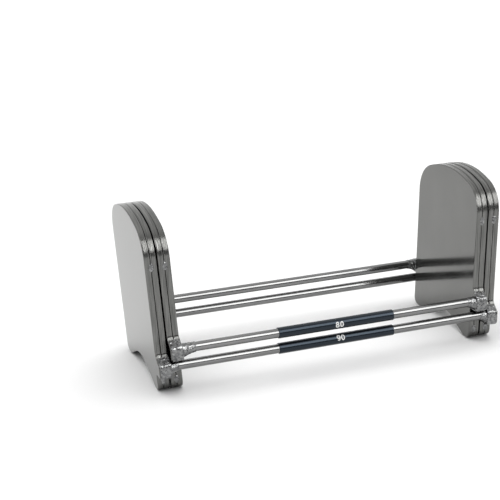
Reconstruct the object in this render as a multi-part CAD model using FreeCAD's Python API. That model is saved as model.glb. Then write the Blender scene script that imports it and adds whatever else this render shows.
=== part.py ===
"""Two nesting weight frames of a block-type adjustable dumbbell.

Each frame is two pairs of steel plates joined by a front and a rear rail.
The plates lean outward, so the inner frame drops into the outer one and lifts
straight out of it.
Millimetres, +Z up, origin on the floor at the middle of the set, front is -Y.
"""
import FreeCAD, Part
import math
import os

from FreeCAD import Vector as V

# overall; the length is between the outer faces at the floor, the height is along a plate
HALF_LENGTH = 193.6
HALF_DEPTH = 71.0
HEIGHT = 184.5

# plates, which lean outward
LEAN = math.radians(2.8)
PLATE_T = 6.5
PLATE_STEP = PLATE_T / math.cos(LEAN)
FRAME_GAP = 1.2
CROWN_SLOPE = 16.5
CROWN_R = 142.0
SHOULDER_R = 34.0
EDGE_R = 1.3
FOOT_R = 8.5
FOOT_RECESS = 4.5
ARCH_HEIGHT = 17.0
ARCH_HALF = 54.0
ARCH_CROWN = 17.0

# ears that carry the front rails, measured from the rail's centre
EAR_OUT = 10.6
EAR_START = 12.5
EAR_KNEE = 3.5
EAR_DROP = 10.0
CAP_PROUD = 0.9
CAP_EDGE = 1.0
CAP_ROUND = 0.7

# rails
RAIL_R = 5.0
RAIL_SEAT = 3.0
RAIL_FRONT_Y = -74.5
RAIL_REAR_Y = 76.8
FLARE_END_R = 5.35
FLARE_SEAT = 0.6
KNUCKLE_INSET = 2.5

# label sleeves on the front rails
SLEEVE_R = 5.9
SLEEVE_BORE = 5.05
SLEEVE_HALF = 66.0
SLEEVE_X = 3.0
SLEEVE_EDGE = 0.3

# tack welds across the seam of a pair
BEAD_R = 4.5
BEAD_PROUD = 0.9
TACK_HIGH = 138.0
TACK_LOW = 12.0

# name, outer face of the pair at the floor, rail height, flare length left and right
FRAMES = (
    ("90", HALF_LENGTH, 30.0, 9.0, 7.0),
    ("80", HALF_LENGTH - 2 * PLATE_STEP - FRAME_GAP, 47.5, 15.0, 9.0),
)


def rounded_wire(corners):
    """Closed wire in the YZ plane through (y, z, radius) corners."""
    starts = []
    ends = []
    for i, (y, z, r) in enumerate(corners):
        p = V(0, y, z)
        before = V(0, corners[i - 1][0], corners[i - 1][1]) - p
        after = V(0, *corners[(i + 1) % len(corners)][:2]) - p
        before.normalize()
        after.normalize()
        half = before.getAngle(after) / 2
        cut = r / math.tan(half)
        bisector = before + after
        bisector.normalize()
        middle = p + bisector * (r / math.sin(half) - r)
        starts.append((p + before * cut, middle))
        ends.append(p + after * cut)
    edges = []
    for i, (start, middle) in enumerate(starts):
        if corners[i][2] > 0:
            edges.append(Part.Arc(start, middle, ends[i]).toShape())
        following = starts[(i + 1) % len(starts)][0]
        if (following - ends[i]).Length > 1e-6:
            edges.append(Part.makeLine(ends[i], following))
    return Part.Wire(edges)


def prism(corners, x0, x1):
    """Solid between x0 and x1 with the given YZ outline."""
    solid = Part.Face(rounded_wire(corners)).extrude(V(x1 - x0, 0, 0))
    solid.translate(V(x0, 0, 0))
    return solid


def plate_outline(rail_z):
    """Domed top, arched bottom, and a front ear at the rail."""
    foot = -(HALF_DEPTH - FOOT_RECESS)
    ear = -(HALF_DEPTH + EAR_OUT)
    slope = math.radians(CROWN_SLOPE)
    ridge = HEIGHT + CROWN_R * (1 / math.cos(slope) - 1)
    shoulder = ridge - HALF_DEPTH * math.tan(slope)
    return [
        (HALF_DEPTH, shoulder, SHOULDER_R),
        (0, ridge, CROWN_R),
        (-HALF_DEPTH, shoulder, SHOULDER_R),
        (-HALF_DEPTH, rail_z + EAR_START, 8.0),
        (ear, rail_z + EAR_KNEE, 4.0),
        (ear, rail_z - EAR_DROP, 3.0),
        (foot, rail_z - EAR_DROP, 2.0),
        (foot, 0, FOOT_R),
        (-ARCH_HALF, 0, 14.0),
        (-ARCH_CROWN, ARCH_HEIGHT, 70.0),
        (ARCH_CROWN, ARCH_HEIGHT, 70.0),
        (ARCH_HALF, 0, 14.0),
        (HALF_DEPTH, 0, FOOT_R),
    ]


def lean(shape, side, floor_x):
    """The shape tipped outward about its foot, and let down by a plate's tilt."""
    tipped = shape.copy()
    tipped.rotate(V(side * floor_x, 0, 0), V(0, 1, 0), side * math.degrees(LEAN))
    tipped.translate(V(0, 0, -PLATE_T * math.sin(LEAN)))
    return tipped


def plate(side, floor_x, rail_z):
    """One leaning plate with its cut edges rolled over and its feet cut level."""
    low, high = sorted((side * floor_x, side * (floor_x - PLATE_T)))
    solid = prism(plate_outline(rail_z), low, high)
    rims = [e for e in solid.Edges if abs(e.BoundBox.XLength) < 1e-6]
    leaning = lean(solid.makeFillet(EDGE_R, rims), side, floor_x)
    under_floor = Part.makeBox(
        2 * PLATE_T, 2 * HALF_DEPTH, PLATE_T, V(low - PLATE_T / 2, -HALF_DEPTH, -PLATE_T))
    return leaning.cut(under_floor).Solids[0]


def rod(radius, x0, x1, y, z):
    return Part.makeCylinder(radius, x1 - x0, V(x0, y, z), V(1, 0, 0))


def oval(x, y, z, ry, rz):
    """Ellipse in the YZ plane, as a wire for lofting."""
    if rz >= ry:
        curve = Part.Ellipse(V(x, y, z + rz), V(x, y + ry, z), V(x, y, z))
    else:
        curve = Part.Ellipse(V(x, y + ry, z), V(x, y, z + rz), V(x, y, z))
    return Part.Wire([curve.toShape()])


def flare(side, face, length, y, z, ry, rz, drop):
    """Weld that widens the rail where it meets the plate's inner face."""
    sections = []
    for t, share in ((0.0, 1.0), (0.3, 0.6), (0.65, 0.22), (1.0, 0.0)):
        sections.append(oval(
            side * (face - length * t), y, z - drop * share,
            FLARE_END_R + (ry - FLARE_END_R) * share,
            FLARE_END_R + 0.02 + (rz - FLARE_END_R) * share))
    solid = Part.makeLoft(sections, True, False)
    return solid.cut(rod(RAIL_R, -HALF_LENGTH, HALF_LENGTH, y, z))


def ear_cap(side, outer, z, plates):
    """Weld run around the tip of both ears of a pair."""
    tip = -(HALF_DEPTH + EAR_OUT + CAP_PROUD)
    outline = [
        (-HALF_DEPTH + 2.0, z + EAR_START + CAP_PROUD, 0),
        (tip, z + EAR_KNEE + CAP_PROUD, 4.5),
        (tip, z - EAR_DROP - CAP_PROUD, 3.5),
        (-HALF_DEPTH + 2.0, z - EAR_DROP - CAP_PROUD, 0),
    ]
    low, high = sorted((side * (outer - CAP_EDGE), side * (outer - 2 * PLATE_T)))
    cap = prism(outline, low, high)
    end = [e for e in cap.Edges if abs(side * e.CenterOfMass.x - outer + CAP_EDGE) < 1e-3]
    cap = lean(cap.makeFillet(CAP_ROUND, end), side, outer)
    for p in plates:
        cap = cap.cut(p)
    return cap


def rear_knuckle(side, outer, inner, length, z):
    """Weld that joins the rear rail to both plates of a pair."""
    y = RAIL_REAR_Y
    outline = [
        (HALF_DEPTH, z + 6.5, 0),
        (y + 1.0, z + 6.5, 4.0),
        (y + 6.75, z, 4.5),
        (y + 1.5, z - 9.5, 3.0),
        (HALF_DEPTH, z - 9.5, 0),
    ]
    low, high = sorted((side * (outer - KNUCKLE_INSET), side * inner))
    pad = prism(outline, low, high)
    pad = pad.cut(rod(RAIL_R, -HALF_LENGTH, HALF_LENGTH, y, z))
    return pad.fuse(flare(side, inner, length, y, z, 5.45, 7.4, 1.4)).removeSplitter()


def bead(x, side, z, half_height, y):
    """Tack weld: a rounded bead along the seam, mostly sunk in the plates' edges."""
    centre_y = side * (y - BEAD_R + BEAD_PROUD)
    low = V(x, centre_y, z - half_height)
    high = V(x, centre_y, z + half_height)
    core = Part.makeCylinder(BEAD_R, 2 * half_height, low)
    return core.fuse([Part.makeSphere(BEAD_R, low), Part.makeSphere(BEAD_R, high)])


def tack_welds(side, seam, plates):
    """Four beads along the front and rear seams of one pair."""
    beads = [
        bead(side * seam, -1, TACK_HIGH, 1.9, HALF_DEPTH),
        bead(side * seam, -1, TACK_LOW, 1.8, HALF_DEPTH - FOOT_RECESS),
        bead(side * seam, 1, TACK_HIGH, 1.9, HALF_DEPTH),
        bead(side * seam, 1, TACK_LOW, 1.2, HALF_DEPTH),
    ]
    proud = []
    for b in beads:
        proud.extend(lean(b, side, seam).cut(plates[0]).cut(plates[1]).Solids)
    return Part.makeCompound(proud)


def sleeve(z):
    x0 = SLEEVE_X - SLEEVE_HALF
    x1 = SLEEVE_X + SLEEVE_HALF
    tube = rod(SLEEVE_R, x0, x1, RAIL_FRONT_Y, z)
    ends = [e for e in tube.Edges if abs(e.BoundBox.XLength) < 1e-6]
    tube = tube.makeFillet(SLEEVE_EDGE, ends)
    return tube.cut(rod(SLEEVE_BORE, x0 - 1, x1 + 1, RAIL_FRONT_Y, z))


def build_frame(label, outer, rail_z, flare_left, flare_right):
    """All the pieces of one weight frame, by node name."""
    seam = outer - PLATE_STEP
    leant = rail_z * math.tan(LEAN)
    rail_outer = outer + leant
    rail_inner = outer - 2 * PLATE_STEP + leant
    front_end = rail_inner + RAIL_SEAT
    rear_end = rail_outer - KNUCKLE_INSET - 0.6
    front_rail = rod(RAIL_R, -front_end, front_end, RAIL_FRONT_Y, rail_z)
    nodes = {
        "rail_%s_rear" % label: rod(RAIL_R, -rear_end, rear_end, RAIL_REAR_Y, rail_z),
        "label_sleeve_%s" % label: sleeve(rail_z),
    }
    for name, side, length in (("left", -1, flare_left), ("right", 1, flare_right)):
        outside = plate(side, outer, rail_z)
        inside = plate(side, seam, rail_z)
        front_rail = front_rail.cut(inside)
        spread = flare(side, rail_inner + FLARE_SEAT, length + FLARE_SEAT,
                       RAIL_FRONT_Y, rail_z, 7.2, 7.9, 2.4).cut(inside)
        cap = ear_cap(side, outer, rail_z, (outside, inside))
        nodes["plate_%s_%s_outer" % (label, name)] = outside
        nodes["plate_%s_%s_inner" % (label, name)] = inside
        nodes["weld_%s_front_%s" % (label, name)] = cap.fuse(spread).removeSplitter()
        nodes["weld_%s_rear_%s" % (label, name)] = rear_knuckle(
            side, rail_outer, rail_inner, length, rail_z)
        nodes["tacks_%s_%s" % (label, name)] = tack_welds(side, seam, (outside, inside))
    nodes["rail_%s_front" % label] = front_rail
    return nodes


def main():
    os.makedirs("parts", exist_ok=True)
    for spec in FRAMES:
        for name, shape in build_frame(*spec).items():
            shape.exportStep("parts/%s.step" % name)
            box = shape.BoundBox
            print("%-26s valid %s volume %.0f  x %.1f..%.1f  y %.1f..%.1f  z %.1f..%.1f" % (
                name, shape.isValid(), shape.Volume, box.XMin, box.XMax,
                box.YMin, box.YMax, box.ZMin, box.ZMax))


main()
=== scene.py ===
import math

import bpy
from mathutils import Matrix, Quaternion, Vector


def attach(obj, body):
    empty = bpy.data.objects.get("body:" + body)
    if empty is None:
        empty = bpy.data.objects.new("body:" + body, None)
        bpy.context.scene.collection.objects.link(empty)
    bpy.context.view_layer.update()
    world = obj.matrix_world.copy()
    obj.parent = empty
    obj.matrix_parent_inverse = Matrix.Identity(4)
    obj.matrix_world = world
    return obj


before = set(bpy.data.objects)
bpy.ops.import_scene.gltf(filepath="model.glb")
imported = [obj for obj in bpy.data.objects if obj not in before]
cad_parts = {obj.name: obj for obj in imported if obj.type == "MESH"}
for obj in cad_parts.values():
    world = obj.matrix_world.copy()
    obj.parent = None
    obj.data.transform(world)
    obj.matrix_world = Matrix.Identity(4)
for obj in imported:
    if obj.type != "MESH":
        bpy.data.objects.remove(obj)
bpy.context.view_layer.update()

# camera: where it stands and which way it looks, in metres and degrees; lens in millimetres
CAMERA_AT = (-0.4652, -1.2236, 0.5174)
CAMERA_AZIMUTH = -18.09
CAMERA_ELEVATION = 17.21
CAMERA_ROLL = -2.44
CAMERA_LENS = 88.94
CAMERA_SENSOR = 36.0

# label sleeves and their numerals, in metres; turns in radians, stroke in digit heights
SLEEVE_RADIUS = 0.0059
SLEEVE_Y = -0.0745
SLEEVE_HEIGHTS = {"80": 0.0475, "90": 0.030}
DIGIT_X = {"80": 0.0054, "90": 0.0065}
DIGIT_TURN = {"80": 0.12, "90": 0.52}
DIGIT_HEIGHT = 0.0064
DIGIT_PITCH = 0.0050
DIGIT_STROKE = 0.20
DIGIT_PROUD = 0.00010
STROKE_CORNERS = ((-0.5, -1), (-0.5, 1), (0.5, 1), (0.5, -1))

# lumps on the welds, in metres
WELD_VOXEL = 0.00035
WELD_LUMP = 0.0008
WELD_LUMP_WIDTH = 0.0022

# studio, in metres: floor, broad sun, panels as (name, place, size, brightness)
FLOOR_HALF = 30.0
FLOOR_DROP = 0.0005
SKY_STRENGTH = 1.7
SKY_ANGLE = 70.0
PANEL_TARGET = (0, 0, 0.08)
PANELS = (
    ("front_box", (0.58, -1.48, 1.31), (1.5, 1.36), 4.4),
    ("left_box", (-1.7, -0.5, 0.85), (0.8, 0.8), 3.0),
    ("right_box", (1.7, -0.5, 0.85), (0.8, 0.8), 3.0),
)
# world strength along an axis: from, to, strength there and there
WORLD_RAMPS = (("Z", 0.2, 0.9, 0.0, 0.15), ("Y", -0.75, 0.3, 0.28, 0.92))


def make_camera():
    """A camera at the given angles, with no shift."""
    a = math.radians(CAMERA_AZIMUTH)
    e = math.radians(CAMERA_ELEVATION)
    forward = Vector((-math.sin(a) * math.cos(e), math.cos(a) * math.cos(e), -math.sin(e)))
    data = bpy.data.cameras.new("photo_camera")
    data.lens = CAMERA_LENS
    data.sensor_width = CAMERA_SENSOR
    camera = bpy.data.objects.new("photo_camera", data)
    bpy.context.collection.objects.link(camera)
    camera.location = CAMERA_AT
    camera.rotation_mode = "QUATERNION"
    roll = Quaternion((0, 0, 1), math.radians(CAMERA_ROLL))
    camera.rotation_quaternion = forward.to_track_quat("-Z", "Y") @ roll
    bpy.context.scene.camera = camera


# ---------------------------------------------------------------- materials

class Shader:
    """A principled material with short names for the nodes it is wired from."""

    def __init__(self, name, metallic, coat, coat_roughness):
        self.material = bpy.data.materials.new(name)
        self.material.use_nodes = True
        self.nodes = self.material.node_tree.nodes
        self.links = self.material.node_tree.links
        self.bsdf = self.nodes["Principled BSDF"]
        self.bsdf.inputs["Metallic"].default_value = metallic
        self.bsdf.inputs["Coat Weight"].default_value = coat
        self.bsdf.inputs["Coat Roughness"].default_value = coat_roughness
        where = self.nodes.new("ShaderNodeTexCoord")
        self.place = where.outputs["Object"]
        self.normal = where.outputs["Normal"]

    def noise(self, per_metre, detail=2.0, stretch=(1, 1, 1)):
        """Noise with that many features in a metre, stretched along an axis by scale."""
        scaled = self.nodes.new("ShaderNodeMapping")
        scaled.inputs["Scale"].default_value = [per_metre * s for s in stretch]
        self.links.new(self.place, scaled.inputs["Vector"])
        made = self.nodes.new("ShaderNodeTexNoise")
        made.inputs["Scale"].default_value = 1.0
        made.inputs["Detail"].default_value = detail
        self.links.new(scaled.outputs[0], made.inputs["Vector"])
        return made.outputs["Fac"]

    def spread(self, value, low, high, start=0.3, stop=0.7):
        """The value mapped onto low..high."""
        made = self.nodes.new("ShaderNodeMapRange")
        for socket, number in zip(("From Min", "From Max", "To Min", "To Max"),
                                  (start, stop, low, high)):
            made.inputs[socket].default_value = number
        self.links.new(value, made.inputs["Value"])
        return made.outputs["Result"]

    def calc(self, operation, a, b):
        """A math node on two values, each a number or a socket."""
        made = self.nodes.new("ShaderNodeMath")
        made.operation = operation
        for socket, value in zip(made.inputs, (a, b)):
            if isinstance(value, (int, float)):
                socket.default_value = value
            else:
                self.links.new(value, socket)
        return made.outputs[0]

    def rim(self):
        """1 on the narrow edges of a plate, 0 on its wide faces."""
        split = self.nodes.new("ShaderNodeSeparateXYZ")
        self.links.new(self.normal, split.inputs[0])
        sideways = self.calc("ABSOLUTE", split.outputs["X"], 0.0)
        return self.spread(sideways, 1.0, 0.0, 0.3, 0.8)

    def colour(self, dark, light, value):
        """Base colour from dark, where the value is 0, to light, where it is 1."""
        made = self.nodes.new("ShaderNodeMix")
        made.data_type = "RGBA"
        made.inputs[6].default_value = (*dark, 1)
        made.inputs[7].default_value = (*light, 1)
        self.links.new(value, made.inputs[0])
        self.links.new(made.outputs[2], self.bsdf.inputs["Base Color"])

    def rough(self, value):
        self.links.new(value, self.bsdf.inputs["Roughness"])

    def bump(self, *layers):
        """Bump layers of (value, height in metres), stacked."""
        before = None
        for value, height in layers:
            made = self.nodes.new("ShaderNodeBump")
            made.inputs["Distance"].default_value = height
            self.links.new(value, made.inputs["Height"])
            if before is not None:
                self.links.new(before, made.inputs["Normal"])
            before = made.outputs["Normal"]
        self.links.new(before, self.bsdf.inputs["Normal"])


def plate_paint():
    """Smooth grey metallic finish; dark and light streaks run along the cut edges, and the
    cut edges are also painted darker overall as painted shade.
    """
    s = Shader("plate_paint", 1.0, 0.0, 0.1)
    cloud = s.noise(22, 3.0)
    grain = s.noise(1400, 1.0)
    peel = s.noise(420, 2.0)
    streak = s.noise(30, 3.0, (60, 1, 1))
    rim = s.rim()
    lines = s.calc("MULTIPLY", s.spread(streak, -0.5, 0.5, 0.35, 0.65), rim)
    tone = s.calc("ADD", s.spread(cloud, 0.30, 0.42), s.calc("MULTIPLY", lines, 0.7))
    # painted shade: the narrow cut edges are made darker in the colour than the wide faces
    tone = s.calc("ADD", tone, s.calc("MULTIPLY", rim, -0.10))
    tone = s.calc("ADD", tone, s.spread(grain, -0.05, 0.05))
    s.colour((0.104, 0.105, 0.101), (0.252, 0.252, 0.243), tone)
    s.rough(s.calc("ADD", s.spread(cloud, 0.10, 0.14), s.calc("MULTIPLY", rim, 0.06)))
    s.bump((peel, 0.000008), (lines, 0.00010))
    return s.material


def rail_paint():
    """The same grey on drawn bar, glossier, with faint draw lines along it."""
    s = Shader("rail_paint", 1.0, 0.0, 0.1)
    cloud = s.noise(35, 3.0)
    draw = s.noise(1500, 2.0, (0.02, 1, 1))
    tone = s.calc("ADD", s.spread(cloud, 0.35, 0.65), s.spread(draw, -0.15, 0.15))
    s.colour((0.150, 0.151, 0.152), (0.275, 0.275, 0.272), tone)
    s.rough(s.spread(cloud, 0.10, 0.15))
    s.bump((draw, 0.000010), (s.noise(200, 1.0), 0.00002))
    return s.material


def weld_paint():
    """Painted weld metal: finely rippled, glossier on its lumps."""
    s = Shader("weld_paint", 1.0, 0.3, 0.08)
    lumps = s.noise(330, 2.0)
    ripple = s.noise(900, 1.0, (1, 0.5, 0.5))
    s.colour((0.075, 0.077, 0.080), (0.290, 0.292, 0.290), s.spread(lumps, 0.1, 0.9))
    s.rough(s.spread(ripple, 0.16, 0.26))
    s.bump((lumps, 0.00012), (ripple, 0.00004))
    return s.material


def sleeve_vinyl():
    """Shrunk black vinyl with a faint bluish tone and fine grain."""
    s = Shader("sleeve_vinyl", 0.0, 0.0, 0.1)
    s.bsdf.inputs["Specular IOR Level"].default_value = 0.45
    s.bsdf.inputs["Specular Tint"].default_value = (0.66, 0.82, 1.0, 1.0)
    cloud = s.noise(90, 3.0)
    grain = s.noise(2600, 1.0)
    s.colour((0.0015, 0.0020, 0.0032), (0.0040, 0.0052, 0.0075), cloud)
    s.rough(s.spread(cloud, 0.17, 0.21))
    s.bump((grain, 0.000006), (s.noise(60, 1.0, (0.4, 1, 1)), 0.00010))
    return s.material


def digit_ink():
    """White print, very slightly worn."""
    s = Shader("digit_ink", 0.0, 0.0, 0.1)
    worn = s.noise(1800, 3.0)
    s.colour((0.58, 0.58, 0.57), (0.90, 0.90, 0.89), s.spread(worn, 0.0, 1.0, 0.25, 0.45))
    s.rough(s.spread(worn, 0.55, 0.38))
    s.bump((worn, 0.000010))
    return s.material


def floor_paper():
    """Pale matt studio paper."""
    s = Shader("floor_paper", 0.0, 0.0, 0.1)
    fibre = s.noise(300, 2.0)
    s.colour((0.86, 0.86, 0.86), (0.90, 0.90, 0.90), fibre)
    s.rough(s.spread(fibre, 0.75, 0.85))
    s.bump((fibre, 0.00002))
    return s.material


def roughen(node, clouds):
    """Real lumps on a weld: an even fine mesh, pushed in and out."""
    even = node.modifiers.new("even_mesh", "REMESH")
    even.mode = "VOXEL"
    even.voxel_size = WELD_VOXEL
    even.use_smooth_shade = True
    push = node.modifiers.new("lumps", "DISPLACE")
    push.texture = clouds
    push.texture_coords = "LOCAL"
    push.strength = WELD_LUMP


def paint_nodes():
    """A finish on every CAD node, by the kind of piece that its name starts with."""
    plate = plate_paint()
    rail = rail_paint()
    weld = weld_paint()
    sleeve = sleeve_vinyl()
    kinds = {"plate": plate, "rail": rail, "weld": weld, "tacks": weld, "label": sleeve}
    clouds = bpy.data.textures.new("weld_clouds", "CLOUDS")
    clouds.noise_scale = WELD_LUMP_WIDTH
    clouds.noise_depth = 1
    for name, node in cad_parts.items():
        if name.startswith(("weld", "tacks")):
            roughen(node, clouds)
        for slot in node.material_slots:
            slot.material = kinds[name.split("_")[0]]


# ----------------------------------------------------------------- numerals

def ellipse(cy, rx, ry, start=0.0, stop=360.0, count=48):
    """Centreline of a stroke: points and outward normals, in digit heights."""
    points = []
    for i in range(count + 1):
        t = math.radians(start + (stop - start) * i / count)
        normal = Vector((math.cos(t) / rx, math.sin(t) / ry)).normalized()
        points.append((Vector((rx * math.cos(t), cy + ry * math.sin(t))), normal))
    return points


DIGITS = {
    "0": [ellipse(0.0, 0.235, 0.40)],
    "8": [ellipse(0.205, 0.195, 0.195), ellipse(-0.19, 0.235, 0.21)],
    "9": [ellipse(0.16, 0.235, 0.24), ellipse(0.0, 0.235, 0.40, 20.0, -130.0)],
}


def numeral(text, body, material):
    """The number wrapped round the front of its sleeve as thin raised print."""
    verts = []
    faces = []
    for place, letter in enumerate(text):
        shift = DIGIT_X[text] + (place - (len(text) - 1) / 2) * DIGIT_PITCH
        for path in DIGITS[letter]:
            first = len(verts)
            for point, normal in path:
                for across, radius in STROKE_CORNERS:
                    p = (point + normal * across * DIGIT_STROKE) * DIGIT_HEIGHT
                    angle = p.y / SLEEVE_RADIUS + DIGIT_TURN[text]
                    r = SLEEVE_RADIUS + radius * DIGIT_PROUD
                    verts.append((shift + p.x, SLEEVE_Y - r * math.cos(angle),
                                  SLEEVE_HEIGHTS[text] + r * math.sin(angle)))
            for i in range(len(path) - 1):
                a = first + 4 * i
                for k in range(4):
                    n = (k + 1) % 4
                    faces.append((a + k, a + n, a + 4 + n, a + 4 + k))
    mesh = bpy.data.meshes.new("numeral_" + text)
    mesh.from_pydata(verts, [], faces)
    mesh.materials.append(material)
    piece = bpy.data.objects.new("numeral_" + text, mesh)
    bpy.context.collection.objects.link(piece)
    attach(piece, body)


# -------------------------------------------------------------------- studio

def light(name, kind, place, target, energy, glossy, diffuse):
    """A lamp aimed at a point; glossy and diffuse say what it lights."""
    data = bpy.data.lights.new(name, kind)
    data.energy = energy
    lamp = bpy.data.objects.new(name, data)
    bpy.context.collection.objects.link(lamp)
    lamp.location = place
    lamp.rotation_mode = "QUATERNION"
    lamp.rotation_quaternion = (Vector(target) - Vector(place)).to_track_quat("-Z", "Y")
    lamp.visible_glossy = glossy
    lamp.visible_diffuse = diffuse
    return data


def softbox(name, place, size, brightness):
    """A rectangular panel seen in the reflections only."""
    energy = brightness * math.pi * size[0] * size[1]
    data = light(name, "AREA", place, PANEL_TARGET, energy, True, False)
    data.shape = "RECTANGLE"
    data.size, data.size_y = size


def world_light():
    """An even studio: dimmer in front than overhead and at the back."""
    world = bpy.data.worlds.new("studio")
    bpy.context.scene.world = world
    world.use_nodes = True
    nodes = world.node_tree.nodes
    links = world.node_tree.links
    where = nodes.new("ShaderNodeTexCoord")
    split = nodes.new("ShaderNodeSeparateXYZ")
    links.new(where.outputs["Generated"], split.inputs[0])
    total = nodes.new("ShaderNodeMath")
    for i, (axis, start, stop, low, high) in enumerate(WORLD_RAMPS):
        ramp = nodes.new("ShaderNodeMapRange")
        ramp.interpolation_type = "SMOOTHSTEP"
        for socket, value in zip(("From Min", "From Max", "To Min", "To Max"),
                                 (start, stop, low, high)):
            ramp.inputs[socket].default_value = value
        links.new(split.outputs[axis], ramp.inputs["Value"])
        links.new(ramp.outputs["Result"], total.inputs[i])
    nodes["Background"].inputs["Color"].default_value = (1, 1, 1, 1)
    links.new(total.outputs[0], nodes["Background"].inputs["Strength"])


def stage():
    """A pale floor just under the object, a broad sun and three panels."""
    mesh = bpy.data.meshes.new("floor")
    corners = [(x * FLOOR_HALF, y * FLOOR_HALF, 0)
               for x, y in ((-1, -1), (1, -1), (1, 1), (-1, 1))]
    mesh.from_pydata(corners, [], [(0, 1, 2, 3)])
    mesh.materials.append(floor_paper())
    floor = bpy.data.objects.new("floor", mesh)
    floor.location.z = -FLOOR_DROP
    bpy.context.collection.objects.link(floor)
    world_light()
    sky = light("sky", "SUN", (0, 0.3, 3), (0, 0, 0), SKY_STRENGTH, False, True)
    sky.angle = math.radians(SKY_ANGLE)
    for panel in PANELS:
        softbox(*panel)
    bpy.context.scene.view_settings.view_transform = "Standard"


make_camera()
stage()
paint_nodes()
ink = digit_ink()
numeral("80", "inner_frame", ink)
numeral("90", "outer_frame", ink)
